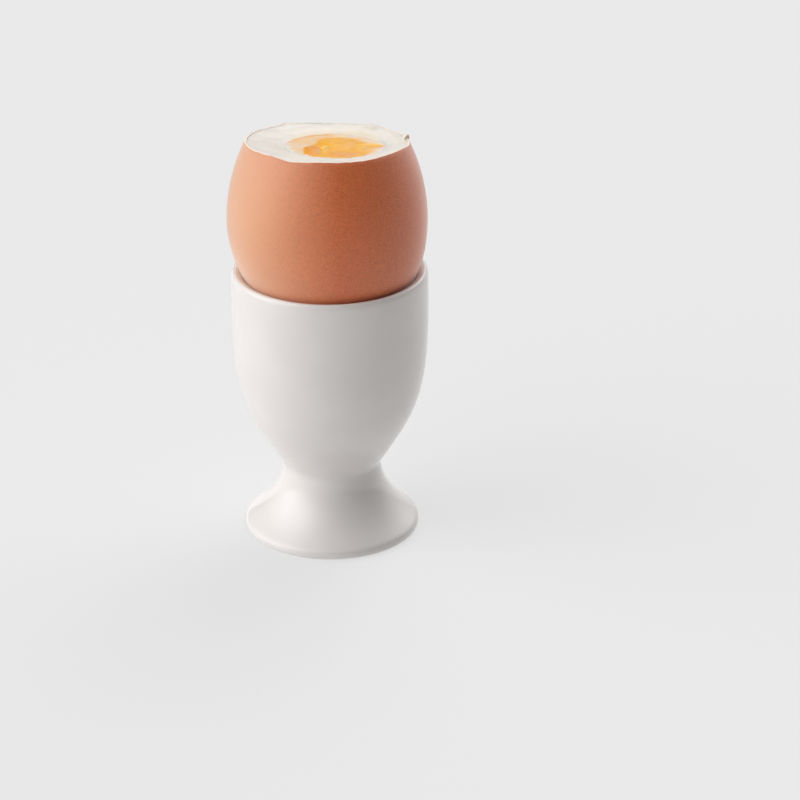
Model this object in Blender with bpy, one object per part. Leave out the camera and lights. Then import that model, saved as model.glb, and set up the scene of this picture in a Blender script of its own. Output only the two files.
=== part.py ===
"""Soft boiled hen's egg with its top cut off, standing in a white porcelain egg cup.

Four solids: the cup, the brown shell, the cooked white and the yolk. Units are metres, +Z is up, and
the origin is on the cup's own axis where its foot ring meets the table. The front is -Y.
"""

import math
import random

import bmesh
import bpy
from mathutils import Vector
from mathutils.geometry import interpolate_bezier

MM = 0.001
SURFACE_GAP = 0.3 * MM
ROUND_STEPS = 48

# Cup, outside, from the table up
FOOT_RADIUS = 20.3 * MM
FOOT_RING_OUTER = 19.4 * MM
FOOT_RING_INNER = 18.1 * MM
FOOT_EDGE_HEIGHT = 1.0 * MM
FOOT_FLARE_RADIUS = 19.0 * MM
FOOT_FLARE_HEIGHT = 2.9 * MM
WAIST_RADIUS = 11.45 * MM
WAIST_HEIGHT = 15.5 * MM
BOWL_START_RADIUS = 12.3 * MM
BOWL_START_HEIGHT = 18.0 * MM
RIM_RADIUS = 22.45 * MM
CUP_HEIGHT = 64.4 * MM
LIP_CREST_RADIUS = 21.5 * MM
LIP_DROP = 1.9 * MM

# Cup, inside; the seat is the slope that the egg rests on
SEAT_TOP_RADIUS = 20.05 * MM
SEAT_TOP_HEIGHT = 63.3 * MM
SEAT_RADIUS = 18.8 * MM
SEAT_HEIGHT = 61.0 * MM
BOWL_FLOOR = 22.5 * MM
RECESS_HEIGHT = 12.5 * MM

# Egg, wide end down; above its seat it bulges a little to the left and to the back
EGG_OFFSET = Vector((-0.44, 0.15, 0.0)) * MM
BULGE_START = 61.0 * MM
BULGE_END = 76.0 * MM
EGG_RADIUS = 22.45 * MM
EGG_HALF_LENGTH = 29.4 * MM
EGG_MIDDLE = 80.45 * MM
EGG_TAPER = 0.137
SHELL_THICKNESS = 0.45 * MM
SKIN_STEPS = 15

# Cut, a plane that falls towards the back and a little to the right
CUT_HEIGHT = 94.3 * MM
CUT_RISE_RIGHT = -0.012
CUT_FALL_BACK = 0.109
BREAK_ROUGHNESS = 0.1 * MM
# Corners and chips of the broken shell edge: angle from +X, rise, half width
CHIPS = (
    (math.radians(14), 0.9 * MM, math.radians(11)),
    (math.radians(54), 0.8 * MM, math.radians(12)),
    (math.radians(120), 0.4 * MM, math.radians(14)),
    (math.radians(167), 0.35 * MM, math.radians(38)),
    (math.radians(-30), 0.45 * MM, math.radians(30)),
    (math.radians(-115), -0.3 * MM, math.radians(16)),
    (math.radians(-145), 0.2 * MM, math.radians(20)),
)

# Yolk and the hollow that the cut leaves over it, from the egg's axis
YOLK_RADIUS = 16.0 * MM
YOLK_CENTRE = Vector((2.0, 0.1, 81.6)) * MM
YOLK_RINGS = 15
YOLK_STEPS = 32
HOLLOW_DEPTH = 1.2 * MM
HOLLOW_RADIUS = 15.4 * MM
HOLLOW_FLOOR_RADIUS = 11.3 * MM
# Soft lumps of the yolk's top: place from the yolk's centre, radius, height
LUMPS = (
    (0.9 * MM, 1.0 * MM, 6.2 * MM, 0.75 * MM),
    (-5.6 * MM, -3.4 * MM, 4.2 * MM, 0.45 * MM),
    (-2.2 * MM, -3.6 * MM, 1.6 * MM, 0.4 * MM),
    (7.4 * MM, -2.0 * MM, 3.6 * MM, 0.25 * MM),
)


def curve(start, start_handle, end_handle, end, steps):
    """Points of one Bezier stretch of an outline, without its last one; each is (radius, height)."""
    corners = [Vector((r, 0.0, z)) for r, z in (start, start_handle, end_handle, end)]
    points = interpolate_bezier(*corners, steps + 1)
    return [(point.x, point.z) for point in points[:-1]]


def quarter_oval(centre, across, along, steps):
    """Points of a quarter oval that rises from a wall to the crest of its lip, without its last one."""
    turns = [math.pi / 2 * step / steps for step in range(steps)]
    return [(centre[0] + across * math.cos(turn), centre[1] + along * math.sin(turn)) for turn in turns]


def smooth_step(low, high, value):
    """0 below low, 1 above high, and an even rise between them."""
    share = min(1.0, max(0.0, (value - low) / (high - low)))
    return share * share * (3 - 2 * share)


def turned_mesh(outline, steps):
    """A mesh of an outline of (radius, height) points turned once about the Z axis."""
    mesh = bmesh.new()
    corners = [mesh.verts.new((radius, 0.0, height)) for radius, height in outline]
    edges = [mesh.edges.new(pair) for pair in zip(corners, corners[1:])]
    bmesh.ops.spin(
        mesh,
        geom=corners + edges,
        cent=(0.0, 0.0, 0.0),
        axis=(0.0, 0.0, 1.0),
        dvec=(0.0, 0.0, 0.0),
        angle=2 * math.pi,
        steps=steps,
        use_merge=True,
    )
    bmesh.ops.remove_doubles(mesh, verts=mesh.verts, dist=0.001 * MM)
    bmesh.ops.recalc_face_normals(mesh, faces=mesh.faces)
    return mesh


def add_object(name, shape, material=None):
    """Turns a bmesh into a named object with smooth shading and its material, if it has one."""
    mesh = bpy.data.meshes.new(name)
    shape.to_mesh(mesh)
    shape.free()
    mesh.shade_smooth()
    mesh.set_sharp_from_angle(angle=math.radians(40))
    thing = bpy.data.objects.new(name, mesh)
    if material is not None:
        mesh.materials.append(material)
    bpy.context.scene.collection.objects.link(thing)
    return thing


def new_material(name, colour, roughness, coat=0.0):
    """A Principled BSDF material with a linear colour, a roughness and a clear coat."""
    material = bpy.data.materials.new(name)
    material.use_nodes = True
    shader = material.node_tree.nodes["Principled BSDF"]
    shader.inputs["Base Color"].default_value = (*colour, 1.0)
    shader.inputs["Roughness"].default_value = roughness
    shader.inputs["Metallic"].default_value = 0.0
    shader.inputs["Coat Weight"].default_value = coat
    return material


def egg_radius(height, inset=0.0):
    """Radius of the egg at a height, or of a skin that lies inset below its surface."""
    share = (height - EGG_MIDDLE) / (EGG_HALF_LENGTH - inset)
    return (EGG_RADIUS - inset) * math.sqrt(max(0.0, 1 - share * share)) * (1 - EGG_TAPER * share)


def egg_skin(inset, top):
    """Outline points of a skin of the egg, from its bottom pole up to a height."""
    half_length = EGG_HALF_LENGTH - inset
    last_turn = math.acos((EGG_MIDDLE - top) / half_length)
    turns = [last_turn * step / SKIN_STEPS for step in range(SKIN_STEPS + 1)]
    heights = [EGG_MIDDLE - half_length * math.cos(turn) for turn in turns]
    return [(egg_radius(height, inset), height) for height in heights]


def stand_in_cup(mesh, from_axis=(0.0, 0.0)):
    """Moves a mesh off the egg's axis, and then with the egg's bulge."""
    for vert in mesh.verts:
        share = smooth_step(BULGE_START, BULGE_END, vert.co.z)
        vert.co.x += from_axis[0] + share * EGG_OFFSET.x
        vert.co.y += from_axis[1] + share * EGG_OFFSET.y


def cut_plane(x, y):
    """Height of the plane of the cut at a place given from the egg's axis."""
    return CUT_HEIGHT + CUT_RISE_RIGHT * x - CUT_FALL_BACK * y


def white_top(x, y):
    """Height of the white's cut top, which sinks into a shallow hollow round the yolk."""
    reach = math.hypot(x - YOLK_CENTRE.x, y - YOLK_CENTRE.y)
    return cut_plane(x, y) - HOLLOW_DEPTH * (1 - smooth_step(HOLLOW_FLOOR_RADIUS, HOLLOW_RADIUS, reach))


def yolk_top(x, y):
    """Height of the yolk's lumpy top at a place given from the yolk's own centre."""
    height = cut_plane(x + YOLK_CENTRE.x, y + YOLK_CENTRE.y) - HOLLOW_DEPTH
    for lump_x, lump_y, radius, rise in LUMPS:
        height += rise * (1 - smooth_step(0.0, radius, math.hypot(x - lump_x, y - lump_y)))
    return height


def lift_to_cut(mesh, edge_height):
    """Moves the upper part of an egg skin along the egg, so that its top meets the slanted cut."""
    for vert in mesh.verts:
        share = smooth_step(EGG_MIDDLE, CUT_HEIGHT, vert.co.z)
        radius = math.hypot(vert.co.x, vert.co.y)
        if share == 0.0 or radius == 0.0:
            continue
        angle = math.atan2(vert.co.y, vert.co.x)
        height = vert.co.z + share * (edge_height(angle) - CUT_HEIGHT)
        wider = 1 + (egg_radius(height) - egg_radius(vert.co.z)) / radius
        vert.co = (vert.co.x * wider, vert.co.y * wider, height)


def make_cup():
    """The cup: a hollow flared foot and a deep bowl with a rounded lip and a slanted seat for the egg."""
    recess_top = (0.0, RECESS_HEIGHT)
    ring_inner = (FOOT_RING_INNER, 0.0)
    ring_outer = (FOOT_RING_OUTER, 0.0)
    foot_edge = (FOOT_RADIUS, FOOT_EDGE_HEIGHT)
    flare_end = (FOOT_FLARE_RADIUS, FOOT_FLARE_HEIGHT)
    waist = (WAIST_RADIUS, WAIST_HEIGHT)
    bowl_start = (BOWL_START_RADIUS, BOWL_START_HEIGHT)
    rim = (RIM_RADIUS, CUP_HEIGHT - LIP_DROP)
    lip_centre = (LIP_CREST_RADIUS, CUP_HEIGHT - LIP_DROP)
    crest = (LIP_CREST_RADIUS, CUP_HEIGHT)
    seat_top = (SEAT_TOP_RADIUS, SEAT_TOP_HEIGHT)
    seat = (SEAT_RADIUS, SEAT_HEIGHT)
    floor = (0.0, BOWL_FLOOR)

    # Under the foot, round its edge and up its flare
    outline = curve(recess_top, (10.5 * MM, RECESS_HEIGHT), (13.5 * MM, 3.5 * MM), ring_inner, 8)
    outline.append(ring_inner)
    outline += curve(ring_outer, (20.0 * MM, 0.0), (FOOT_RADIUS, 0.4 * MM), foot_edge, 3)
    outline += curve(foot_edge, (FOOT_RADIUS, 1.8 * MM), (19.8 * MM, 2.2 * MM), flare_end, 3)
    outline += curve(flare_end, (15.0 * MM, 6.3 * MM), (11.9 * MM, 10.5 * MM), waist, 7)
    # Round the crease where the bowl begins, up the bowl and over its lip
    outline += curve(waist, (11.35 * MM, 16.5 * MM), (11.7 * MM, 17.1 * MM), bowl_start, 3)
    outline += curve(bowl_start, (20.8 * MM, 31.3 * MM), (23.0 * MM, 35.0 * MM), rim, 12)
    outline += quarter_oval(lip_centre, RIM_RADIUS - LIP_CREST_RADIUS, LIP_DROP, 4)
    outline += curve(crest, (20.9 * MM, CUP_HEIGHT), (20.35 * MM, 64.0 * MM), seat_top, 4)
    # Down the seat and the inside of the bowl to its floor
    outline += curve(seat_top, (19.65 * MM, 62.45 * MM), (19.2 * MM, 61.7 * MM), seat, 3)
    outline += curve(seat, (20.5 * MM, 38.0 * MM), (15.5 * MM, BOWL_FLOOR), floor, 12)
    outline.append(floor)
    porcelain = new_material("Glazed porcelain", (0.86, 0.85, 0.83), 0.12, coat=0.3)
    return add_object("egg_cup", turned_mesh(outline, ROUND_STEPS), porcelain)


def make_shell():
    """The brown shell: a thin even wall, open at the cut, with the uneven edge that breaking leaves."""
    chance = random.Random(7)
    nicks = [chance.uniform(-BREAK_ROUGHNESS, BREAK_ROUGHNESS) for _ in range(ROUND_STEPS)]
    edge_radius = egg_radius(CUT_HEIGHT)

    def edge_height(angle):
        height = cut_plane(edge_radius * math.cos(angle), edge_radius * math.sin(angle))
        height += nicks[round(angle / (2 * math.pi) * ROUND_STEPS) % ROUND_STEPS]
        for place, rise, half_width in CHIPS:
            apart = abs(math.remainder(angle - place, 2 * math.pi))
            height += rise * (1 - smooth_step(0.0, half_width, apart))
        return height

    outline = egg_skin(0.0, CUT_HEIGHT) + egg_skin(SHELL_THICKNESS, CUT_HEIGHT)[::-1]
    shape = turned_mesh(outline, ROUND_STEPS)
    lift_to_cut(shape, edge_height)
    stand_in_cup(shape)
    eggshell = new_material("Brown eggshell", (0.56, 0.25, 0.14), 0.5)
    return add_object("egg_shell", shape, eggshell)


def yolk_ball(radius, lumpy):
    """A ball round the yolk's centre; the yolk's own ball is pressed down to its lumpy top."""
    turns = [math.pi * ring / YOLK_RINGS for ring in range(YOLK_RINGS + 1)]
    outline = [(radius * math.sin(turn), YOLK_CENTRE.z - radius * math.cos(turn)) for turn in turns]
    outline[0] = (0.0, outline[0][1])
    outline[-1] = (0.0, outline[-1][1])
    ball = turned_mesh(outline, YOLK_STEPS)
    if lumpy:
        for vert in ball.verts:
            vert.co.z = min(vert.co.z, yolk_top(vert.co.x, vert.co.y))
    stand_in_cup(ball, (YOLK_CENTRE.x, YOLK_CENTRE.y))
    return ball


def make_white():
    """The cooked white: it fills the shell up to the cut, with a round place for the yolk."""
    inset = SHELL_THICKNESS + SURFACE_GAP
    edge_radius = egg_radius(CUT_HEIGHT, inset)
    top_radii = [edge_radius * share for share in (0.93, 0.86, 0.79, 0.72, 0.65, 0.55, 0.3, 0.0)]
    outline = egg_skin(inset, CUT_HEIGHT) + [(radius, CUT_HEIGHT) for radius in top_radii]
    shape = turned_mesh(outline, ROUND_STEPS)
    top = [
        vert
        for vert in shape.verts
        if vert.co.z > CUT_HEIGHT - 0.01 * MM and math.hypot(vert.co.x, vert.co.y) < edge_radius * 0.95
    ]
    lift_to_cut(
        shape, lambda angle: cut_plane(edge_radius * math.cos(angle), edge_radius * math.sin(angle))
    )
    for vert in top:
        vert.co.z = white_top(vert.co.x, vert.co.y)
    stand_in_cup(shape)
    cooked_white = new_material("Cooked egg white", (0.86, 0.82, 0.76), 0.4, coat=0.2)
    white = add_object("egg_white", shape, cooked_white)
    hollow = add_object("yolk_hollow_cutter", yolk_ball(YOLK_RADIUS + SURFACE_GAP, False))
    hollow.hide_render = True
    hollow.display_type = "WIRE"
    cut = white.modifiers.new("Yolk hollow", "BOOLEAN")
    cut.object = hollow
    cut.operation = "DIFFERENCE"
    return white


def make_yolk():
    """The soft set yolk: a ball whose top lies bare in the cut, a little lumpy."""
    soft_yolk = new_material("Soft egg yolk", (0.93, 0.5, 0.08), 0.35, coat=0.3)
    return add_object("egg_yolk", yolk_ball(YOLK_RADIUS, True), soft_yolk)


for old in list(bpy.data.objects):
    bpy.data.objects.remove(old, do_unlink=True)
make_cup()
make_shell()
make_white()
make_yolk()
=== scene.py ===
"""Boiled egg in an egg cup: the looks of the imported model, laid out as an add-on and run as a script."""

import math

import bmesh
import bpy
from bpy.props import FloatProperty, FloatVectorProperty, IntProperty, PointerProperty
from mathutils import Euler, Matrix, Vector, noise
from mathutils.geometry import interpolate_bezier


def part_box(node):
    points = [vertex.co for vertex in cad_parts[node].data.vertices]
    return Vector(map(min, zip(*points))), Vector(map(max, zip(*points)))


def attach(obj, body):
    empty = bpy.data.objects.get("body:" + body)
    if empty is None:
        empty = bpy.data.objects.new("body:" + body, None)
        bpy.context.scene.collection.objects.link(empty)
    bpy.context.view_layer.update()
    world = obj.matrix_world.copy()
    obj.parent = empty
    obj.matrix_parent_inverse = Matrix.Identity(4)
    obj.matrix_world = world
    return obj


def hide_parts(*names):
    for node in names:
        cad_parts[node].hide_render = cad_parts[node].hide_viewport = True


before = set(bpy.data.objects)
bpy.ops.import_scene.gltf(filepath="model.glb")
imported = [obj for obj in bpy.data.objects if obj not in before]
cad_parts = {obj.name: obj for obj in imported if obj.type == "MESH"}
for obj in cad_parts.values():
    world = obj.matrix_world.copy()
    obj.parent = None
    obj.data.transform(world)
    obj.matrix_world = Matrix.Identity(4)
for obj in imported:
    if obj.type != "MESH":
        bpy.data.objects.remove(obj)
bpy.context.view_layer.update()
CUP_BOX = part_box("egg_cup")

bl_info = {
    "name": "Boiled Egg in Egg Cup",
    "version": (1, 0, 0),
    "blender": (4, 5, 0),
    "location": "3D View > Sidebar > Egg Cup",
    "description": "Makes a soft boiled egg in a white porcelain egg cup round its packed CAD model",
    "category": "Object",
}

MM = 0.001

# Edges of the cup's outline as (radius, height) in millimetres
FOOT_RING_INNER = (18.1, 0.0)
FOOT_RING_OUTER = (19.4, 0.0)
FOOT_EDGE = (20.3, 1.0)
FOOT_FLARE = (19.0, 2.9)
WAIST = (11.45, 15.5)
BOWL_START = (12.3, 18.0)
LIP_CREST_RADIUS = 21.6
LIP_DROP = 1.9
# The seat stands about 0.1 mm from the egg, closer than the solids do
SEAT_TOP = (20.03, 63.75)
SEAT = (18.5, 61.0)
RECESS_TOP = (0.0, 12.5)
BOWL_FLOOR = (0.0, 22.5)

# The egg's place and form; above its seat it bulges a little to the left and to the back
EGG_OFFSET = Vector((-0.44, 0.15, 0.0)) * MM
BULGE_START = 61.0 * MM
BULGE_END = 76.0 * MM
EGG_MIDDLE = 80.45 * MM
EGG_TAPER = 0.137

# The cut falls towards the back and a little to the right
CUT_RISE_RIGHT = -0.012
CUT_FALL_BACK = 0.109
# Corners of the broken edge: angle from +X in degrees, rise over the cut in millimetres
EDGE_CORNERS = (
    (-180, 0.32),
    (-171, 0.32),
    (-160, 0.2),
    (-135, 0.24),
    (-126, 0.02),
    (-118, -0.35),
    (-107, -0.19),
    (-90, -0.09),
    (-63, -0.08),
    (-47, 0.22),
    (-33, 0.43),
    (-18, 0.4),
    (-2, 0.04),
    (6, 0.25),
    (13, 0.85),
    (17, 0.5),
    (37, 0.0),
    (47, 0.18),
    (54, 0.84),
    (64, 0.28),
    (73, -0.04),
    (90, -0.17),
    (108, 0.13),
    (117, 0.34),
    (121, 0.75),
    (125, 0.27),
    (135, -0.01),
    (146, 0.19),
    (155, 0.35),
    (180, 0.32),
)

# How far the white's rim lies below the shell's broken edge
WHITE_DROP = 0.02 * MM

# The yolk's place, from the egg's axis
YOLK_CENTRE = Vector((2.0, 0.6, 81.6)) * MM
# From the yolk's centre: the white's inner edge, how far the yolk laps over it, and the scooped hollow
# round the yolk, with its floor's radius and its own at the front and at the back
YOLK_EDGE = 10.3 * MM
YOLK_LAP = 1.1 * MM
HOLLOW_FLOOR_RADIUS = 11.0 * MM
HOLLOW_RADIUS_FRONT = 14.8 * MM
HOLLOW_RADIUS_BACK = 17.5 * MM
# Lumps of the yolk's bare top: place from its centre, half width, half depth and rise in millimetres,
# tint from pale to deep, and share of loose white over it
YOLK_LUMPS = (
    (0.4, 0.9, 4.5, 5.6, 0.6, 0.42, 0.0),
    (-5.2, -4.5, 2.3, 4.5, 0.42, 0.78, 0.0),
    (-2.4, -3.4, 1.1, 2.2, 0.6, 0.0, 0.0),
    (1.6, -8.0, 3.6, 2.5, 0.28, 0.75, 0.14),
    (7.1, -3.4, 2.9, 3.0, 0.3, 0.45, 0.16),
    (8.0, 0.8, 3.2, 0.9, 0.15, 0.05, 0.0),
)
# Border of the yolk that no loose white covers: angle from +X in degrees, millimetres from its centre
BARE_YOLK = (
    (-180, 5.2),
    (-172, 6.0),
    (-163, 7.3),
    (-151, 8.0),
    (-133, 9.9),
    (-118, 10.9),
    (-62, 10.9),
    (-42, 9.4),
    (-20, 8.6),
    (-8, 9.4),
    (2, 10.4),
    (7, 8.6),
    (13, 6.9),
    (35, 6.1),
    (60, 6.6),
    (86, 7.0),
    (111, 6.8),
    (127, 6.4),
    (140, 5.1),
    (153, 4.6),
    (170, 4.8),
    (180, 5.2),
)
# Steps of the yolk's ball between its upper edge and its bottom
BALL_STEPS = 24

# The flake on the broken edge: angle from +X, turn about its own upright and lean outwards in degrees
FLAKE_ANGLE = 9.0
FLAKE_TURN = 18.0
FLAKE_LEAN = 14.0
FLAKE_WIDTH = 1.3 * MM
FLAKE_HEIGHT = 1.0 * MM

# Half the side of the square floor in metres, the camera's sensor in millimetres
FLOOR_REACH = 6.0
SENSOR_WIDTH = 36.0
# Each silk is this power of the cosine to its middle, so half as bright 23 degrees from it
SILK_POWER = 8.0

# Inputs and output of the Mix node's colour form, whose names it shares with its other forms
SHARE, FIRST, SECOND = 0, 6, 7
MIXED = 2


def linear(code):
    """Linear red, green, blue and alpha of an sRGB hex colour."""
    parts = [int(code[place : place + 2], 16) / 255 for place in (1, 3, 5)]
    return (*(part / 12.92 if part <= 0.04045 else ((part + 0.055) / 1.055) ** 2.4 for part in parts), 1.0)


def colour_property(label, code, words):
    """A colour property with an sRGB hex colour as its default."""
    return FloatVectorProperty(
        name=label, description=words, subtype="COLOR", size=4, min=0.0, max=1.0, default=linear(code)
    )


def length_property(label, millimetres, words):
    """A length property with its default given in millimetres."""
    return FloatProperty(
        name=label, description=words, unit="LENGTH", precision=5, min=0.0, default=millimetres * MM
    )


class CupSettings(bpy.types.PropertyGroup):
    """Sizes and colours of the porcelain cup"""

    height: FloatProperty(
        name="Height",
        description="From the table to the top of the lip",
        unit="LENGTH",
        precision=5,
        default=CUP_BOX[1].z,
    )
    rim_radius: length_property("Rim radius", 22.45, "Radius of the bowl just below the lip")
    round_steps: IntProperty(name="Steps", description="Steps round the axis", default=160, min=24)
    glaze: colour_property("Glaze", "#E4DFDC", "White of the glazed body")
    glaze_pool: colour_property("Thick glaze", "#E0DBD8", "Duller white where the glaze lies thicker")
    bare: colour_property("Bare foot ring", "#D9D2C6", "Unglazed porcelain under the foot")


class EggSettings(bpy.types.PropertyGroup):
    """Sizes and colours of the boiled egg"""

    radius: length_property("Radius", 22.45, "Radius at the middle of its length, over its shell")
    half_length: length_property("Half length", 29.4, "Half the length of the whole egg")
    shell_thickness: length_property("Shell thickness", 0.45, "Thickness of the shell")
    cut_height: length_property("Cut height", 94.3, "Height of the cut over the egg's axis")
    hollow_depth: length_property("Hollow depth", 0.65, "How far the cut sinks round the yolk")
    yolk_radius: length_property("Yolk radius", 16.0, "Radius of the yolk's ball")
    round_steps: IntProperty(name="Steps", description="Steps round the axis", default=240, min=24)
    shell: colour_property("Shell", "#D76318", "Brown of the shell's cuticle")
    shell_dark: colour_property("Shell pores", "#A0400D", "Darker brown of the pores and specks")
    shell_pale: colour_property("Shell mottle", "#DD6D26", "Paler brown of the mottling")
    # Painted sheen: a pale tan laid on the egg's left side in place of the light that falls there
    shell_painted_sheen: colour_property("Painted shell sheen", "#DBA276", "Painted sheen that makes the egg's left side paler")
    broken_edge: colour_property("Broken edge", "#F1DFCF", "Chalky layer that shows where the shell broke")
    white: colour_property("White", "#E6DED4", "Set egg white")
    stain: colour_property("Yolk stain", "#EECB7C", "White that the yolk has run over")
    yolk: colour_property("Yolk", "#EDAC12", "Set yolk")
    yolk_deep: colour_property("Deep yolk", "#E08D0C", "Softer, more orange yolk")
    yolk_pale: colour_property("Pale yolk", "#F3C25A", "Creamy, drier yolk")
    curd: colour_property("Loose white", "#E2CDB4", "Thin loose white with yolk under it")


class StageSettings(bpy.types.PropertyGroup):
    """Floor, light and camera"""

    floor: colour_property("Floor", "#F4F4F4", "Matt white board")
    floor_glow: FloatProperty(
        name="Floor glow", description="Even light that the board gives off", default=0.64
    )
    left_wall: FloatProperty(
        name="Left wall", description="Strength of the lit wall on the left", default=2.62
    )
    key: FloatProperty(name="Key", description="Strength of the silk at the front left", default=2.6)
    fill: FloatProperty(name="Fill", description="Strength of the silk high on the left", default=0.8)
    back: FloatProperty(name="Back", description="Strength of the silk behind on the right", default=4.2)
    focal_length: FloatProperty(
        name="Focal length", description="In millimetres, on a 36 mm sensor", default=139.5
    )
    camera_place: FloatVectorProperty(
        name="Camera",
        description="Place of the camera",
        subtype="TRANSLATION",
        default=(0.0, -0.6506, 0.3339),
    )
    camera_pitch: FloatProperty(
        name="Pitch", description="How far it looks down", subtype="ANGLE", default=0.4355
    )
    camera_yaw: FloatProperty(
        name="Yaw", description="How far it looks right", subtype="ANGLE", default=0.0245
    )


def smooth_step(low, high, value):
    """0 up to low, 1 from high on and a soft rise between them; it runs backwards where high is below low."""
    share = min(1.0, max(0.0, (value - low) / (high - low)))
    return share * share * (3 - 2 * share)


def curve(start, start_handle, end_handle, end, steps):
    """Points of one Bezier stretch of an outline, without its last one; its corners are in millimetres."""
    corners = [Vector((radius, 0.0, height)) for radius, height in (start, start_handle, end_handle, end)]
    return [(point.x * MM, point.z * MM) for point in interpolate_bezier(*corners, steps + 1)[:-1]]


def quarter_oval(centre, across, along, steps):
    """Points of a quarter oval that rises from a wall to its lip's crest, without its last one.

    The centre and the two half widths are in millimetres.
    """
    points = []
    for step in range(steps):
        turn = math.pi / 2 * step / steps
        points.append(((centre[0] + across * math.cos(turn)) * MM, (centre[1] + along * math.sin(turn)) * MM))
    return points


def turned_mesh(outline, steps):
    """A closed mesh of an outline turned once about Z; an outline point is (radius, height, mark)."""
    mesh = bmesh.new()
    mark = mesh.verts.layers.float.new("mark")
    corners = []
    for radius, height, value in outline:
        corner = mesh.verts.new((radius, 0.0, height))
        corner[mark] = value
        corners.append(corner)
    edges = [mesh.edges.new(pair) for pair in zip(corners, corners[1:])]
    bmesh.ops.spin(
        mesh,
        geom=corners + edges,
        cent=(0.0, 0.0, 0.0),
        axis=(0.0, 0.0, 1.0),
        dvec=(0.0, 0.0, 0.0),
        angle=2 * math.pi,
        steps=steps,
        use_merge=True,
    )
    bmesh.ops.remove_doubles(mesh, verts=mesh.verts, dist=0.001 * MM)
    bmesh.ops.recalc_face_normals(mesh, faces=mesh.faces)
    return mesh, mark


def stand_in_cup(shape):
    """Moves a mesh that was made on the egg's axis with the egg's bulge."""
    for vert in shape.verts:
        vert.co += EGG_OFFSET * smooth_step(BULGE_START, BULGE_END, vert.co.z)


def add_piece(name, shape, materials, node=None):
    """Makes a named piece of a bmesh that rides on the body, and stands for a CAD node if one is named."""
    mesh = bpy.data.meshes.new(name)
    shape.to_mesh(mesh)
    shape.free()
    mesh.shade_smooth()
    for material in materials:
        mesh.materials.append(material)
    piece = bpy.data.objects.new(name, mesh)
    bpy.context.scene.collection.objects.link(piece)
    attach(piece, "root")
    if node:
        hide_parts(node)
    return piece


def add_node(tree, kind, links=None, stops=None, **settings):
    """Adds a node; links gives each input's value or the socket it comes from, stops a ramp's colours."""
    made = tree.nodes.new(kind)
    for name, value in settings.items():
        setattr(made, name, value)
    for name, value in (links or {}).items():
        if isinstance(value, bpy.types.NodeSocket):
            tree.links.new(value, made.inputs[name])
        else:
            made.inputs[name].default_value = value
    if stops:
        elements = made.color_ramp.elements
        while len(elements) < len(stops):
            elements.new(1.0)
        for element, (place, colour) in zip(elements, stops):
            element.position = place
            element.color = colour
    return made


def new_material(name):
    """An empty node material; gives its tree and its output's surface socket."""
    material = bpy.data.materials.new(name)
    material.use_nodes = True
    tree = material.node_tree
    tree.nodes.clear()
    output = tree.nodes.new("ShaderNodeOutputMaterial")
    return material, tree, output.inputs["Surface"]


def grey(value):
    """A grey colour of this linear value."""
    return (value, value, value, 1.0)


def glazed_porcelain(cup):
    """Porcelain fired with a clear glaze: an even warm white under a hard, glassy skin.

    The glaze is very smooth but flows a little, which bends its reflections over a few millimetres.
    """
    material, tree, surface = new_material("Glazed porcelain")
    place = add_node(tree, "ShaderNodeTexCoord").outputs["Object"]
    # Slow clouds in the body, about 9 mm across
    clouds = add_node(tree, "ShaderNodeTexNoise", {"Vector": place, "Scale": 110.0, "Detail": 3.0})
    tone = add_node(
        tree, "ShaderNodeValToRGB", {"Fac": clouds.outputs["Fac"]}, [(0.3, cup.glaze_pool), (0.7, cup.glaze)]
    )
    # Flow of the glaze, about 6 mm across
    flow = add_node(
        tree, "ShaderNodeTexNoise", {"Vector": place, "Scale": 160.0, "Detail": 1.0, "Roughness": 0.35}
    )
    relief = add_node(
        tree, "ShaderNodeBump", {"Height": flow.outputs["Fac"], "Strength": 0.12, "Distance": 0.4 * MM}
    )
    gloss = add_node(
        tree,
        "ShaderNodeMapRange",
        {"Value": clouds.outputs["Fac"], "To Min": 0.07, "To Max": 0.12},
    )
    shader = add_node(
        tree,
        "ShaderNodeBsdfPrincipled",
        {
            "Base Color": tone.outputs["Color"],
            "Roughness": gloss.outputs["Result"],
            "Normal": relief.outputs["Normal"],
            "IOR": 1.5,
        },
    )
    tree.links.new(shader.outputs["BSDF"], surface)
    return material


def bare_porcelain(cup):
    """Unglazed porcelain of the foot ring: dry, slightly sandy and a little darker than the glaze."""
    material, tree, surface = new_material("Bare porcelain")
    place = add_node(tree, "ShaderNodeTexCoord").outputs["Object"]
    # Grit of about 0.3 mm
    grit = add_node(tree, "ShaderNodeTexNoise", {"Vector": place, "Scale": 3300.0, "Detail": 2.0})
    tone = add_node(
        tree, "ShaderNodeValToRGB", {"Fac": grit.outputs["Fac"]}, [(0.35, linear("#C9C1B4")), (0.6, cup.bare)]
    )
    relief = add_node(
        tree, "ShaderNodeBump", {"Height": grit.outputs["Fac"], "Strength": 0.3, "Distance": 0.05 * MM}
    )
    shader = add_node(
        tree,
        "ShaderNodeBsdfPrincipled",
        {"Base Color": tone.outputs["Color"], "Roughness": 0.75, "Normal": relief.outputs["Normal"]},
    )
    tree.links.new(shader.outputs["BSDF"], surface)
    return material


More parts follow.
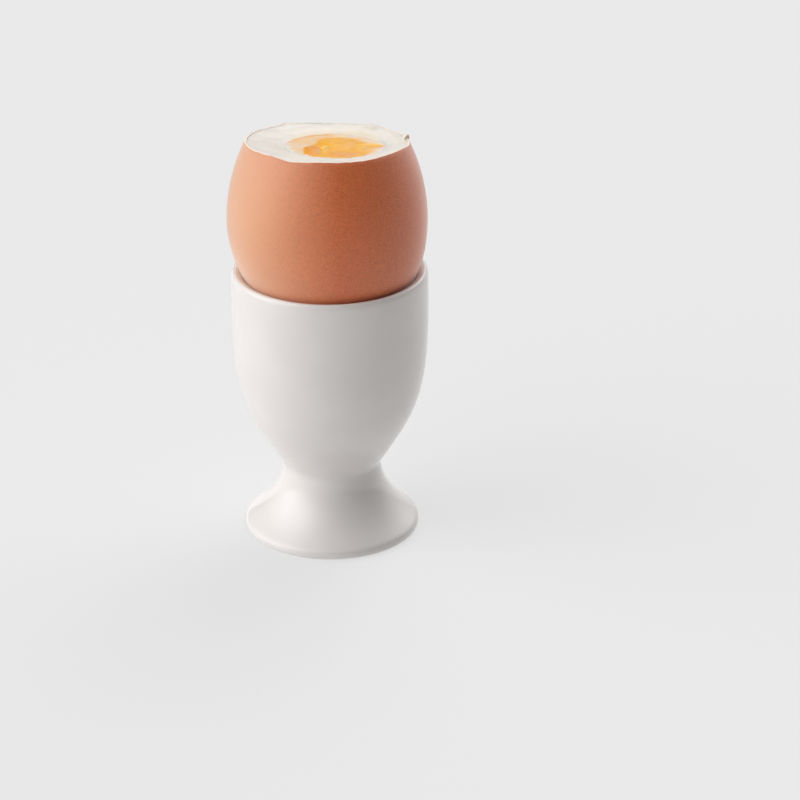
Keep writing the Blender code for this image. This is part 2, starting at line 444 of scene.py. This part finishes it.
def brown_eggshell(egg):
    """Eggshell with its brown cuticle: satin chalk with fine pores and soft mottling.

    The cuticle scatters light at its surface, which whitens the shell where it turns away.
    """
    material, tree, surface = new_material("Brown eggshell")
    place = add_node(tree, "ShaderNodeTexCoord").outputs["Object"]
    # Mottling of the pigment, about 1 mm across
    mottle = add_node(
        tree, "ShaderNodeTexNoise", {"Vector": place, "Scale": 1000.0, "Detail": 3.0, "Roughness": 0.6}
    )
    # Slow drift of the pigment, about 12 mm across
    drift = add_node(tree, "ShaderNodeTexNoise", {"Vector": place, "Scale": 85.0, "Detail": 2.0})
    # Grain of the cuticle, about 0.3 mm across, drawn coarser than real so that it shows
    grain = add_node(
        tree, "ShaderNodeTexNoise", {"Vector": place, "Scale": 3500.0, "Detail": 2.0, "Roughness": 0.65}
    )
    # Pores, one in about 0.8 mm
    pores = add_node(tree, "ShaderNodeTexVoronoi", {"Vector": place, "Scale": 1250.0, "Randomness": 1.0})
    pigment = add_node(
        tree,
        "ShaderNodeValToRGB",
        {"Fac": mottle.outputs["Fac"]},
        [(0.36, egg.shell), (0.68, egg.shell_pale)],
    )
    grained = add_node(
        tree, "ShaderNodeValToRGB", {"Fac": grain.outputs["Fac"]}, [(0.34, grey(0.5)), (0.56, grey(0.0))]
    )
    toned = add_node(
        tree,
        "ShaderNodeMix",
        {SHARE: grained.outputs["Color"], FIRST: pigment.outputs["Color"], SECOND: egg.shell_dark},
        data_type="RGBA",
    )
    pore_mask = add_node(
        tree, "ShaderNodeValToRGB", {"Fac": pores.outputs["Distance"]}, [(0.08, grey(0.7)), (0.22, grey(0.0))]
    )
    pored = add_node(
        tree,
        "ShaderNodeMix",
        {SHARE: pore_mask.outputs["Color"], FIRST: toned.outputs[MIXED], SECOND: egg.shell_dark},
        data_type="RGBA",
    )
    # Painted sheen: from the middle to the left side the shell turns a paler, plainer tan in place of the
    # light from the left
    across = add_node(tree, "ShaderNodeSeparateXYZ", {"Vector": place})
    painted_sheen_share = add_node(
        tree,
        "ShaderNodeMapRange",
        {
            "Value": across.outputs["X"],
            "From Min": -20.0 * MM,
            "From Max": 2.0 * MM,
            "To Min": 0.85,
            "To Max": 0.0,
        },
    )
    with_painted_sheen = add_node(
        tree,
        "ShaderNodeMix",
        {SHARE: painted_sheen_share.outputs["Result"], FIRST: pored.outputs[MIXED], SECOND: egg.shell_painted_sheen},
        data_type="RGBA",
    )
    drifted = add_node(
        tree,
        "ShaderNodeHueSaturation",
        {
            "Color": with_painted_sheen.outputs[MIXED],
            "Value": add_node(
                tree, "ShaderNodeMapRange", {"Value": drift.outputs["Fac"], "To Min": 0.93, "To Max": 1.07}
            ).outputs["Result"],
        },
    )
    height = add_node(
        tree,
        "ShaderNodeMath",
        {0: grain.outputs["Fac"], 1: pore_mask.outputs["Color"]},
        operation="SUBTRACT",
    )
    relief = add_node(
        tree, "ShaderNodeBump", {"Height": height.outputs["Value"], "Strength": 0.35, "Distance": 0.06 * MM}
    )
    shader = add_node(
        tree,
        "ShaderNodeBsdfPrincipled",
        {
            "Base Color": drifted.outputs["Color"],
            "Roughness": 0.6,
            "IOR": 1.5,
            "Specular IOR Level": 1.0,
            "Sheen Weight": 0.72,
            "Sheen Roughness": 0.45,
            "Normal": relief.outputs["Normal"],
        },
    )
    tree.links.new(shader.outputs["BSDF"], surface)
    return material


def chalky_edge(egg):
    """The chalk layer of the shell where it broke: matt, pale cream, stained brown near the cuticle."""
    material, tree, surface = new_material("Broken shell chalk")
    place = add_node(tree, "ShaderNodeTexCoord").outputs["Object"]
    stain = add_node(tree, "ShaderNodeAttribute", attribute_name="brown")
    # Crumbs of about 0.25 mm
    crumbs = add_node(tree, "ShaderNodeTexNoise", {"Vector": place, "Scale": 4000.0, "Detail": 2.0})
    tone = add_node(
        tree,
        "ShaderNodeValToRGB",
        {"Fac": stain.outputs["Fac"]},
        [(0.2, egg.broken_edge), (0.9, egg.shell_dark)],
    )
    relief = add_node(
        tree, "ShaderNodeBump", {"Height": crumbs.outputs["Fac"], "Strength": 0.5, "Distance": 0.08 * MM}
    )
    shader = add_node(
        tree,
        "ShaderNodeBsdfPrincipled",
        {
            "Base Color": tone.outputs["Color"],
            "Roughness": 0.7,
            "Subsurface Weight": 0.3,
            "Subsurface Radius": (1.0, 0.7, 0.5),
            "Subsurface Scale": 0.6 * MM,
            "Normal": relief.outputs["Normal"],
        },
    )
    tree.links.new(shader.outputs["BSDF"], surface)
    return material


def cooked_white(egg):
    """Set egg white: firm, moist and cloudy, so light goes in a few millimetres before it comes out."""
    material, tree, surface = new_material("Cooked egg white")
    place = add_node(tree, "ShaderNodeTexCoord").outputs["Object"]
    stain = add_node(tree, "ShaderNodeAttribute", attribute_name="stain")
    # Clouding of the protein, about 2.5 mm across
    clouds = add_node(tree, "ShaderNodeTexNoise", {"Vector": place, "Scale": 400.0, "Detail": 4.0})
    body = add_node(
        tree,
        "ShaderNodeValToRGB",
        {"Fac": clouds.outputs["Fac"]},
        [(0.3, linear("#E1D9CF")), (0.7, egg.white)],
    )
    tone = add_node(
        tree,
        "ShaderNodeMix",
        {SHARE: stain.outputs["Fac"], FIRST: body.outputs["Color"], SECOND: egg.stain},
        data_type="RGBA",
    )
    # Grain of the cut face, about 0.4 mm
    grain = add_node(tree, "ShaderNodeTexNoise", {"Vector": place, "Scale": 2500.0, "Detail": 3.0})
    relief = add_node(
        tree, "ShaderNodeBump", {"Height": grain.outputs["Fac"], "Strength": 0.25, "Distance": 0.08 * MM}
    )
    shader = add_node(
        tree,
        "ShaderNodeBsdfPrincipled",
        {
            "Base Color": tone.outputs[MIXED],
            "Roughness": 0.34,
            "IOR": 1.36,
            "Subsurface Weight": 0.8,
            "Subsurface Radius": (1.0, 0.85, 0.7),
            "Subsurface Scale": 1.8 * MM,
            "Coat Weight": 0.25,
            "Coat Roughness": 0.2,
            "Normal": relief.outputs["Normal"],
        },
    )
    tree.links.new(shader.outputs["BSDF"], surface)
    return material


def soft_yolk(egg):
    """Yolk set to a soft cream: dense yellow with pale and deep orange lumps, and torn white over its rim."""
    material, tree, surface = new_material("Soft egg yolk")
    place = add_node(tree, "ShaderNodeTexCoord").outputs["Object"]
    tint = add_node(tree, "ShaderNodeAttribute", attribute_name="tint")
    # Streaks of the yolk, about 3 mm across
    streaks = add_node(
        tree, "ShaderNodeTexNoise", {"Vector": place, "Scale": 330.0, "Detail": 4.0, "Distortion": 0.8}
    )
    mixed = add_node(
        tree,
        "ShaderNodeMath",
        {
            0: tint.outputs["Fac"],
            1: add_node(
                tree, "ShaderNodeMapRange", {"Value": streaks.outputs["Fac"], "To Min": -0.2, "To Max": 0.2}
            ).outputs["Result"],
        },
        operation="ADD",
    )
    tone = add_node(
        tree,
        "ShaderNodeValToRGB",
        {"Fac": mixed.outputs["Value"]},
        [(0.05, egg.yolk_pale), (0.4, egg.yolk), (0.85, egg.yolk_deep)],
    )
    # Thin loose white lies over the yolk's rim and turns to plain white at its outer border
    cover = add_node(tree, "ShaderNodeAttribute", attribute_name="cover")
    covered = add_node(
        tree,
        "ShaderNodeMix",
        {SHARE: cover.outputs["Fac"], FIRST: tone.outputs["Color"], SECOND: egg.curd},
        data_type="RGBA",
    )
    torn = add_node(tree, "ShaderNodeAttribute", attribute_name="torn")
    bordered = add_node(
        tree,
        "ShaderNodeMix",
        {SHARE: torn.outputs["Fac"], FIRST: covered.outputs[MIXED], SECOND: egg.white},
        data_type="RGBA",
    )
    # Granules of the set yolk, about 0.5 mm
    grain = add_node(tree, "ShaderNodeTexNoise", {"Vector": place, "Scale": 2000.0, "Detail": 3.0})
    relief = add_node(
        tree, "ShaderNodeBump", {"Height": grain.outputs["Fac"], "Strength": 0.35, "Distance": 0.1 * MM}
    )
    shader = add_node(
        tree,
        "ShaderNodeBsdfPrincipled",
        {
            "Base Color": bordered.outputs[MIXED],
            "Roughness": 0.36,
            "IOR": 1.35,
            "Subsurface Weight": 0.5,
            "Subsurface Radius": (1.0, 0.5, 0.12),
            "Subsurface Scale": 1.0 * MM,
            "Normal": relief.outputs["Normal"],
        },
    )
    tree.links.new(shader.outputs["BSDF"], surface)
    return material


def egg_radius(egg, height, inset=0.0):
    """Radius of the egg at a height, or of a skin that lies inset below its surface."""
    share = (height - EGG_MIDDLE) / (egg.half_length - inset)
    return (egg.radius - inset) * math.sqrt(max(0.0, 1 - share * share)) * (1 - EGG_TAPER * share)


def egg_skin(egg, inset, steps, mark):
    """Outline points of a skin of the egg, from its bottom pole up to the cut."""
    half_length = egg.half_length - inset
    last_turn = math.acos((EGG_MIDDLE - egg.cut_height) / half_length)
    heights = [EGG_MIDDLE - half_length * math.cos(last_turn * step / steps) for step in range(steps + 1)]
    return [(egg_radius(egg, height, inset), height, mark) for height in heights]


def cut_plane(egg, x, y):
    """Height of the plane of the cut at a place given from the egg's axis."""
    return egg.cut_height + CUT_RISE_RIGHT * x - CUT_FALL_BACK * y


def along_corners(corners, angle):
    """Value at an angle on the straight runs between corners of (degrees, millimetres)."""
    degrees = math.degrees(angle)
    for (low, low_value), (high, high_value) in zip(corners, corners[1:]):
        if low <= degrees <= high:
            return (low_value + (high_value - low_value) * (degrees - low) / (high - low)) * MM
    return corners[0][1] * MM


def edge_point(egg, radius, angle):
    """Point of the broken edge at an angle, for a skin with this radius at the height of the cut."""
    height = cut_plane(egg, radius * math.cos(angle), radius * math.sin(angle))
    height += along_corners(EDGE_CORNERS, angle)
    reach = radius + egg_radius(egg, height) - egg_radius(egg, egg.cut_height)
    return Vector((reach * math.cos(angle), reach * math.sin(angle), height))


def ring_noise(angle, waves, seed):
    """Even noise from -1 to 1 round a ring, with about so many waves in it."""
    return noise.noise(Vector((math.cos(angle) * waves / 6, math.sin(angle) * waves / 6, seed)))


def lift_to_cut(egg, mesh, edge_height):
    """Moves the upper part of an egg skin along the egg, so that its top meets the slanted cut."""
    for vert in mesh.verts:
        share = smooth_step(EGG_MIDDLE, egg.cut_height, vert.co.z)
        radius = math.hypot(vert.co.x, vert.co.y)
        if share == 0.0 or radius == 0.0:
            continue
        height = vert.co.z + share * (edge_height(math.atan2(vert.co.y, vert.co.x)) - egg.cut_height)
        wider = 1 + (egg_radius(egg, height) - egg_radius(egg, vert.co.z)) / radius
        vert.co = (vert.co.x * wider, vert.co.y * wider, height)


class EGGCUP_OT_cup(bpy.types.Operator):
    """Add the footed porcelain cup"""

    bl_idname = "egg_cup.add_cup"
    bl_label = "Porcelain cup"

    def execute(self, context):
        cup = context.scene.egg_cup
        top = cup.height / MM
        rim = cup.rim_radius / MM
        # Under the foot, round its edge and up its flare
        outline = curve(RECESS_TOP, (10.5, RECESS_TOP[1]), (13.5, 3.5), FOOT_RING_INNER, 20)
        ring_middle = (FOOT_RING_INNER[0] + FOOT_RING_OUTER[0]) / 2
        outline += [(FOOT_RING_INNER[0] * MM, 0.0), (ring_middle * MM, 0.0)]
        outline += curve(FOOT_RING_OUTER, (20.0, 0.0), (FOOT_EDGE[0], 0.4), FOOT_EDGE, 6)
        outline += curve(FOOT_EDGE, (FOOT_EDGE[0], 1.8), (19.8, 2.2), FOOT_FLARE, 7)
        outline += curve(FOOT_FLARE, (15.0, 6.3), (11.9, 10.5), WAIST, 22)
        # Round the crease where the bowl begins, up the bowl and over its lip
        outline += curve(WAIST, (11.35, 16.5), (11.7, 17.1), BOWL_START, 8)
        outline += curve(BOWL_START, (20.8, 31.3), (23.0, 35.0), (rim, top - LIP_DROP), 44)
        crest = (LIP_CREST_RADIUS, top)
        outline += quarter_oval((crest[0], top - LIP_DROP), rim - crest[0], LIP_DROP, 14)
        outline += curve(crest, (21.2, top), (20.5, 64.1), SEAT_TOP, 14)
        # Down the seat and the inside of the bowl to its floor
        outline += curve(SEAT_TOP, (19.58, 62.85), (19.07, 61.95), SEAT, 8)
        outline += curve(SEAT, (20.5, 38.0), (15.5, BOWL_FLOOR[1]), BOWL_FLOOR, 28)
        outline.append((0.0, BOWL_FLOOR[1] * MM))
        shape, _ = turned_mesh([(*point, 0.0) for point in outline], cup.round_steps)
        # The flat of the foot ring, which stood on the kiln's shelf, has no glaze
        bare_below = 0.02 * MM
        for face in shape.faces:
            face.material_index = int(max(vert.co.z for vert in face.verts) < bare_below)
        finishes = [glazed_porcelain(cup), bare_porcelain(cup)]
        add_piece("egg_cup_glazed", shape, finishes, "egg_cup")
        return {"FINISHED"}


class EGGCUP_OT_shell(bpy.types.Operator):
    """Add the brown shell with its broken edge"""

    bl_idname = "egg_cup.add_shell"
    bl_label = "Eggshell"

    def execute(self, context):
        egg = context.scene.boiled_egg
        thick = egg.shell_thickness
        outer = egg_skin(egg, 0.0, 64, 0.0)
        inner = egg_skin(egg, thick, 40, 1.0)[::-1]
        edge_outer, edge_inner = outer[-1][0], inner[0][0]
        # The broken wall rises a little between its two skins, whose marks are 0 outside and 1 inside
        edge = [
            (edge_outer + (edge_inner - edge_outer) * share, egg.cut_height + 0.05 * MM, share)
            for share in (0.2, 0.4, 0.6, 0.8)
        ]
        shape, mark = turned_mesh(outer + edge + inner, egg.round_steps)

        def edge_height(angle):
            height = edge_point(egg, edge_outer, angle).z
            # Nicks of the break: long ones about 5 mm apart and small ones about 1 mm apart
            height += 0.07 * MM * ring_noise(angle, 24, 3.0) + 0.06 * MM * ring_noise(angle, 110, 9.0)
            return height

        lift_to_cut(egg, shape, edge_height)
        brown = shape.verts.layers.float.new("brown")
        for vert in shape.verts:
            angle = math.atan2(vert.co.y, vert.co.x)
            # The break runs slanting through the shell, so its crumbs stand a little uneven
            if 0.1 < vert[mark] < 0.9:
                vert.co.z += 0.09 * MM * ring_noise(angle, 160, vert[mark] * 5)
            # The break is brown next to the cuticle, in places deeper, and most behind on the left
            back_left = 1 - smooth_step(0.0, math.radians(26), abs(angle - math.radians(143)))
            stained = 0.35 * max(0.0, ring_noise(angle, 40, 2.0)) + 1.2 * back_left
            vert[brown] = min(1.0, max(0.0, 0.35 - 1.6 * vert[mark] + stained))
        for face in shape.faces:
            # The cuticle covers the outer skin alone
            face.material_index = int(any(vert[mark] > 0.0 for vert in face.verts))
        stand_in_cup(shape)
        add_piece("egg_shell_brown", shape, [brown_eggshell(egg), chalky_edge(egg)], "egg_shell")
        return {"FINISHED"}


def white_height(egg, x, y):
    """Height of the white's cut top: a flat rim and a softly scooped hollow round the yolk."""
    from_yolk = Vector((x - YOLK_CENTRE.x, y - YOLK_CENTRE.y, 0.0))
    angle = math.atan2(from_yolk.y, from_yolk.x)
    # The hollow's border wanders a little, and runs nearer to the yolk in front than at the back
    reach = from_yolk.length + 0.45 * MM * ring_noise(angle, 14, 5.0)
    front = smooth_step(-0.3, 0.75, -math.sin(angle))
    hollow_radius = HOLLOW_RADIUS_BACK + (HOLLOW_RADIUS_FRONT - HOLLOW_RADIUS_BACK) * front
    sunk = 1 - smooth_step(HOLLOW_FLOOR_RADIUS, hollow_radius, reach)
    height = cut_plane(egg, x, y) - egg.hollow_depth * sunk
    # Soft unevenness of the torn curd, about 4 mm and 1.2 mm across
    place = Vector((x, y, 0.0)) / MM
    return height + 0.13 * MM * noise.noise(place / 4) + 0.045 * MM * noise.noise(place / 1.2)


class EGGCUP_OT_white(bpy.types.Operator):
    """Add the cooked white with its scooped hollow"""

    bl_idname = "egg_cup.add_white"
    bl_label = "Egg white"

    def execute(self, context):
        egg = context.scene.boiled_egg
        # The white reaches a little into the shell's wall, so that no slit shows between them
        skin = egg_skin(egg, egg.shell_thickness - 0.06 * MM, 40, 0.0)
        edge_radius = skin[-1][0]
        # Rings of the cut top, marked 0 to 1 from its rim to its inner edge; they get their places below
        rings = 44
        shares = [ring / rings for ring in range(1, rings + 1)]
        top = [(edge_radius * (1 - 0.4 * share), egg.cut_height, share) for share in shares]
        # The hollow that holds the yolk, marked 2, down to its bottom on the axis
        ball = egg.yolk_radius + 0.05 * MM
        start = math.asin(YOLK_EDGE / ball)
        turns = [start + (math.pi - start) * step / BALL_STEPS for step in range(1, BALL_STEPS + 1)]
        hollow = [(ball * math.sin(turn), YOLK_CENTRE.z + ball * math.cos(turn), 2.0) for turn in turns]
        hollow[-1] = (0.0, hollow[-1][1], 2.0)
        shape, mark = turned_mesh(skin + top + hollow, egg.round_steps)
        stain = shape.verts.layers.float.new("stain")
        upper = {vert: math.atan2(vert.co.y, vert.co.x) for vert in shape.verts if 0.0 < vert[mark] < 1.5}
        lift_to_cut(egg, shape, lambda angle: edge_point(egg, edge_radius, angle).z - WHITE_DROP)
        for vert in shape.verts:
            if vert[mark] > 1.5:
                vert.co.x += YOLK_CENTRE.x
                vert.co.y += YOLK_CENTRE.y
        for vert, angle in upper.items():
            edge = edge_point(egg, edge_radius, angle)
            inner = YOLK_CENTRE.xy + YOLK_EDGE * Vector((math.cos(angle), math.sin(angle)))
            x, y = edge.xy.lerp(inner, vert[mark])
            # Near the shell the white follows the shell's uneven edge
            near_edge = 1 - smooth_step(0.0, 0.35, vert[mark])
            lift = near_edge * (edge.z - cut_plane(egg, edge.x, edge.y) - WHITE_DROP)
            # Its uneven inner edge dips under the yolk that laps over it
            dip = 0.4 * MM * smooth_step(0.82 + 0.1 * ring_noise(angle, 30, 4.0), 1.0, vert[mark])
            vert.co = (x, y, white_height(egg, x, y) + lift - dip)
            vert[stain] = self.stained(x, y)
        stand_in_cup(shape)
        add_piece("egg_white_cooked", shape, [cooked_white(egg)], "egg_white")
        return {"FINISHED"}

    def stained(self, x, y):
        """How much yolk has run over the white at a place, from 0 to 1; most of it lies at the back."""
        from_yolk = Vector((x - YOLK_CENTRE.x, y - YOLK_CENTRE.y, 0.0))
        angle = math.atan2(from_yolk.y, from_yolk.x)
        back = smooth_step(0.25, 0.9, math.sin(angle))
        wide = (1.3 + 3.0 * back + 1.1 * ring_noise(angle, 16, 7.0)) * MM
        near = 1 - smooth_step(YOLK_EDGE - 0.2 * MM, YOLK_EDGE + max(0.5 * MM, wide), from_yolk.length)
        return (0.4 + 0.05 * back) * near


class EGGCUP_OT_yolk(bpy.types.Operator):
    """Add the soft yolk with the loose white that lies over its rim"""

    bl_idname = "egg_cup.add_yolk"
    bl_label = "Egg yolk"

    def execute(self, context):
        egg = context.scene.boiled_egg
        radius = egg.yolk_radius
        # The ball from its bottom up, marked 0, and its bare top, marked 1, which laps over the white's edge
        edge = YOLK_EDGE + YOLK_LAP
        start = math.pi - math.asin(edge / radius)
        turns = [start * step / BALL_STEPS for step in range(BALL_STEPS + 1)]
        ball = [(radius * math.sin(turn), YOLK_CENTRE.z - radius * math.cos(turn), 0.0) for turn in turns]
        rings = 110
        top = [(edge * (1 - ring / rings), ball[-1][1], 1.0) for ring in range(1, rings + 1)]
        shape, mark = turned_mesh(ball + top, egg.round_steps)
        tint = shape.verts.layers.float.new("tint")
        cover = shape.verts.layers.float.new("cover")
        torn = shape.verts.layers.float.new("torn")
        for vert in shape.verts:
            place = vert.co.xy + YOLK_CENTRE.xy
            level = cut_plane(egg, *place) - egg.hollow_depth
            vert[tint] = 0.5
            if vert[mark] > 0.5:
                rise, vert[tint], vert[cover], vert[torn] = yolk_relief(vert.co.x, vert.co.y)
                # Its border sinks into the white, and its own relief begins further in
                inside = smooth_step(edge - 0.5 * MM, edge - 2.0 * MM, math.hypot(vert.co.x, vert.co.y))
                border = white_height(egg, *place) - 0.05 * MM
                vert.co.z = border + (level + rise - border) * inside
            else:
                # The ball's upper edge stays below the bare top
                vert.co.z = min(vert.co.z, level - 0.35 * MM)
        bmesh.ops.translate(shape, verts=shape.verts, vec=(YOLK_CENTRE.x, YOLK_CENTRE.y, 0.0))
        stand_in_cup(shape)
        add_piece("egg_yolk_soft", shape, [soft_yolk(egg)], "egg_yolk")
        return {"FINISHED"}


def loose_white(x, y):
    """Shares of thin loose white and of plain white over the yolk at a place given from its centre."""
    angle = math.atan2(y, x)
    reach = math.hypot(x, y) + 0.25 * MM * noise.noise(Vector((x, y, 9.0 * MM)) / (1.1 * MM))
    border = along_corners(BARE_YOLK, angle)
    # The border is torn sharply on the left and fades out on the right
    right = smooth_step(-0.2, 0.7, math.cos(angle))
    cover = smooth_step(border - 0.2 * MM, border + (0.5 + 1.5 * right) * MM, reach)
    # Behind on the left it is thinner along its outer border
    back_left = smooth_step(-0.05, 0.4, math.sin(angle)) * smooth_step(0.2, -0.2, math.cos(angle))
    line = smooth_step(8.9 * MM, 10.0 * MM, reach) * smooth_step(11.2 * MM, 10.6 * MM, reach)
    # Yolk shows through it in streaks
    streak = smooth_step(-0.1, 0.5, noise.noise(Vector((x / (4.5 * MM), y / (1.3 * MM), 2.0))))
    # On the left it lies thickest in one band
    left = smooth_step(0.2, -0.2, math.cos(angle)) * smooth_step(0.5 * MM, 3.0 * MM, abs(y + 1.5 * MM))
    # Its outer border is torn into fingers of plain white
    finger = noise.noise(Vector((x / (3.5 * MM), y / (1.2 * MM), 6.0)))
    torn = cover * smooth_step(9.8 * MM, 11.2 * MM, reach + 1.8 * MM * finger) * (1 - 0.5 * back_left)
    return cover * (1 - 0.35 * left) * (1 - 0.5 * back_left * line) * (1 - 0.35 * streak), torn


def yolk_relief(x, y):
    """Rise, tint and shares of thin and plain white of the yolk's top at a place given from its centre."""
    rise = 0.0
    tint = 0.5
    film = 0.0
    for lump_x, lump_y, wide, deep, lump_rise, lump_tint, lump_film in YOLK_LUMPS:
        apart = math.hypot((x / MM - lump_x) / wide, (y / MM - lump_y) / deep)
        rise = max(rise, lump_rise * smooth_step(1.05, 0.35, apart))
        on_lump = smooth_step(1.1, 0.65, apart)
        tint += (lump_tint - tint) * on_lump
        film += (lump_film - film) * on_lump
    # Soft unevenness, about 2.2 mm and 0.7 mm across
    place = Vector((x, y, 0.0)) / MM
    rise += 0.08 * noise.noise(place / 2.2 + Vector((4, 0, 0))) + 0.04 * noise.noise(place / 0.7)
    # The loose white is about 0.1 mm thick
    cover, torn = loose_white(x, y)
    rise += cover * (0.12 + 0.1 * noise.noise(place / 1.3))
    return rise * MM, tint, max(film, cover), torn


class EGGCUP_OT_flake(bpy.types.Operator):
    """Add the small flake of shell that stands up from the broken edge on the right"""

    bl_idname = "egg_cup.add_flake"
    bl_label = "Shell flake"

    def execute(self, context):
        egg = context.scene.boiled_egg
        shape = bmesh.new()
        brown = shape.verts.layers.float.new("brown")
        # Its outline, in shares of its width and height
        corners = [(-0.5, -0.25), (0.5, -0.3), (0.42, 0.3), (0.12, 1.0), (-0.2, 0.7), (-0.46, 0.35)]
        verts = [shape.verts.new((x * FLAKE_WIDTH, 0.0, z * FLAKE_HEIGHT)) for x, z in corners]
        for vert in verts:
            # Its right half is drawn a darker brown
            vert[brown] = 0.45 if vert.co.x > 0.0 else 0.0
        face = shape.faces.new(verts)
        made = bmesh.ops.extrude_face_region(shape, geom=[face])
        moved = [part for part in made["geom"] if isinstance(part, bmesh.types.BMVert)]
        bmesh.ops.translate(shape, verts=moved, vec=(0.0, egg.shell_thickness * 0.8, 0.0))
        # It stands a little inside the shell's outer skin, with its foot in the wall
        angle = math.radians(FLAKE_ANGLE)
        radius = egg_radius(egg, egg.cut_height)
        height = edge_point(egg, radius, angle).z + 0.1 * MM
        reach = 0.985 * radius
        place = Matrix.Translation((reach * math.cos(angle), reach * math.sin(angle), height))
        turn = Matrix.Rotation(angle + math.radians(FLAKE_TURN), 4, "Z")
        lean = Matrix.Rotation(math.radians(FLAKE_LEAN), 4, "X")
        bmesh.ops.transform(shape, matrix=place @ turn @ lean, verts=verts + moved)
        bmesh.ops.recalc_face_normals(shape, faces=shape.faces)
        stand_in_cup(shape)
        add_piece("shell_flakes", shape, [chalky_edge(egg)], None).data.shade_flat()
        return {"FINISHED"}


def matt_board(stage):
    """Matt white board, lit evenly from all round.

    That even light is a glow of its own, and its base is dark, so the shadows that it takes stay faint.
    """
    material, tree, surface = new_material("Matt white board")
    place = add_node(tree, "ShaderNodeTexCoord").outputs["Object"]
    # Tooth of the board, about 1 mm
    tooth = add_node(tree, "ShaderNodeTexNoise", {"Vector": place, "Scale": 1000.0, "Detail": 2.0})
    relief = add_node(
        tree, "ShaderNodeBump", {"Height": tooth.outputs["Fac"], "Strength": 0.05, "Distance": 0.05 * MM}
    )
    shader = add_node(
        tree,
        "ShaderNodeBsdfPrincipled",
        {
            "Base Color": grey(0.22),
            "Roughness": 0.5,
            "Specular IOR Level": 0.0,
            "Emission Color": stage.floor,
            "Emission Strength": stage.floor_glow,
            "Normal": relief.outputs["Normal"],
        },
    )
    tree.links.new(shader.outputs["BSDF"], surface)
    return material


class EGGCUP_OT_stage(bpy.types.Operator):
    """Add the floor, the soft lights and the camera"""

    bl_idname = "egg_cup.add_stage"
    bl_label = "Stage"

    def execute(self, context):
        scene = context.scene
        stage = scene.egg_cup_stage
        scene.view_settings.view_transform = "Standard"
        scene.view_settings.look = "None"

        shape = bmesh.new()
        bmesh.ops.create_grid(shape, x_segments=1, y_segments=1, size=FLOOR_REACH)
        mesh = bpy.data.meshes.new("floor")
        shape.to_mesh(mesh)
        shape.free()
        mesh.materials.append(matt_board(stage))
        floor = bpy.data.objects.new("floor", mesh)
        scene.collection.objects.link(floor)

        # Wide silks round the set: azimuth from +X and elevation in degrees, strength
        silks = (
            (180.0, 8.0, stage.left_wall),
            (180.0, 40.0, stage.fill),
            (210.0, 40.0, stage.key),
            (60.0, 40.0, stage.back),
        )
        world = bpy.data.worlds.new("Studio")
        world.use_nodes = True
        tree = world.node_tree
        tree.nodes.clear()
        direction = add_node(tree, "ShaderNodeTexCoord").outputs["Generated"]
        total = 0.0
        for azimuth, elevation, strength in silks:
            turn, tilt = math.radians(azimuth), math.radians(elevation)
            aim = (math.cos(turn) * math.cos(tilt), math.sin(turn) * math.cos(tilt), math.sin(tilt))
            facing = add_node(tree, "ShaderNodeVectorMath", {0: direction, 1: aim}, operation="DOT_PRODUCT")
            lit = add_node(tree, "ShaderNodeMath", {0: facing.outputs["Value"], 1: 0.0}, operation="MAXIMUM")
            soft = add_node(tree, "ShaderNodeMath", {0: lit.outputs[0], 1: SILK_POWER}, operation="POWER")
            sums = {0: soft.outputs[0], 1: strength, 2: total}
            total = add_node(tree, "ShaderNodeMath", sums, operation="MULTIPLY_ADD").outputs[0]
        glow = add_node(tree, "ShaderNodeBackground", {"Color": grey(1.0), "Strength": total})
        add_node(tree, "ShaderNodeOutputWorld", {"Surface": glow.outputs["Background"]})
        scene.world = world

        data = bpy.data.cameras.new("camera")
        data.lens = stage.focal_length
        data.sensor_width = SENSOR_WIDTH
        data.clip_start, data.clip_end = 0.01, 50.0
        camera = bpy.data.objects.new("camera", data)
        camera.location = stage.camera_place
        camera.rotation_euler = Euler((math.pi / 2 - stage.camera_pitch, 0.0, -stage.camera_yaw))
        scene.collection.objects.link(camera)
        scene.camera = camera
        return {"FINISHED"}


MAKERS = (
    EGGCUP_OT_cup,
    EGGCUP_OT_shell,
    EGGCUP_OT_white,
    EGGCUP_OT_yolk,
    EGGCUP_OT_flake,
    EGGCUP_OT_stage,
)


class EGGCUP_PT_panel(bpy.types.Panel):
    """Sidebar panel with the makers and their settings"""

    bl_idname = "EGGCUP_PT_panel"
    bl_label = "Boiled egg in egg cup"
    bl_space_type = "VIEW_3D"
    bl_region_type = "UI"
    bl_category = "Egg Cup"

    def draw(self, context):
        layout = self.layout
        for maker in MAKERS:
            layout.operator(maker.bl_idname)
        for group in (context.scene.egg_cup, context.scene.boiled_egg, context.scene.egg_cup_stage):
            box = layout.box()
            for name in group.bl_rna.properties.keys():
                if name not in ("rna_type", "name"):
                    box.prop(group, name)


GROUPS = (
    ("egg_cup", CupSettings),
    ("boiled_egg", EggSettings),
    ("egg_cup_stage", StageSettings),
)


def register():
    """Registers the settings, the makers and the panel."""
    for name, group in GROUPS:
        bpy.utils.register_class(group)
        setattr(bpy.types.Scene, name, PointerProperty(type=group))
    for maker in MAKERS:
        bpy.utils.register_class(maker)
    bpy.utils.register_class(EGGCUP_PT_panel)


def unregister():
    """Takes back what register did, in the other order."""
    bpy.utils.unregister_class(EGGCUP_PT_panel)
    for maker in reversed(MAKERS):
        bpy.utils.unregister_class(maker)
    for name, group in reversed(GROUPS):
        delattr(bpy.types.Scene, name)
        bpy.utils.unregister_class(group)


def main():
    register()
    bpy.ops.egg_cup.add_cup()
    bpy.ops.egg_cup.add_shell()
    bpy.ops.egg_cup.add_white()
    bpy.ops.egg_cup.add_yolk()
    bpy.ops.egg_cup.add_flake()
    bpy.ops.egg_cup.add_stage()


if __name__ == "__main__":
    main()
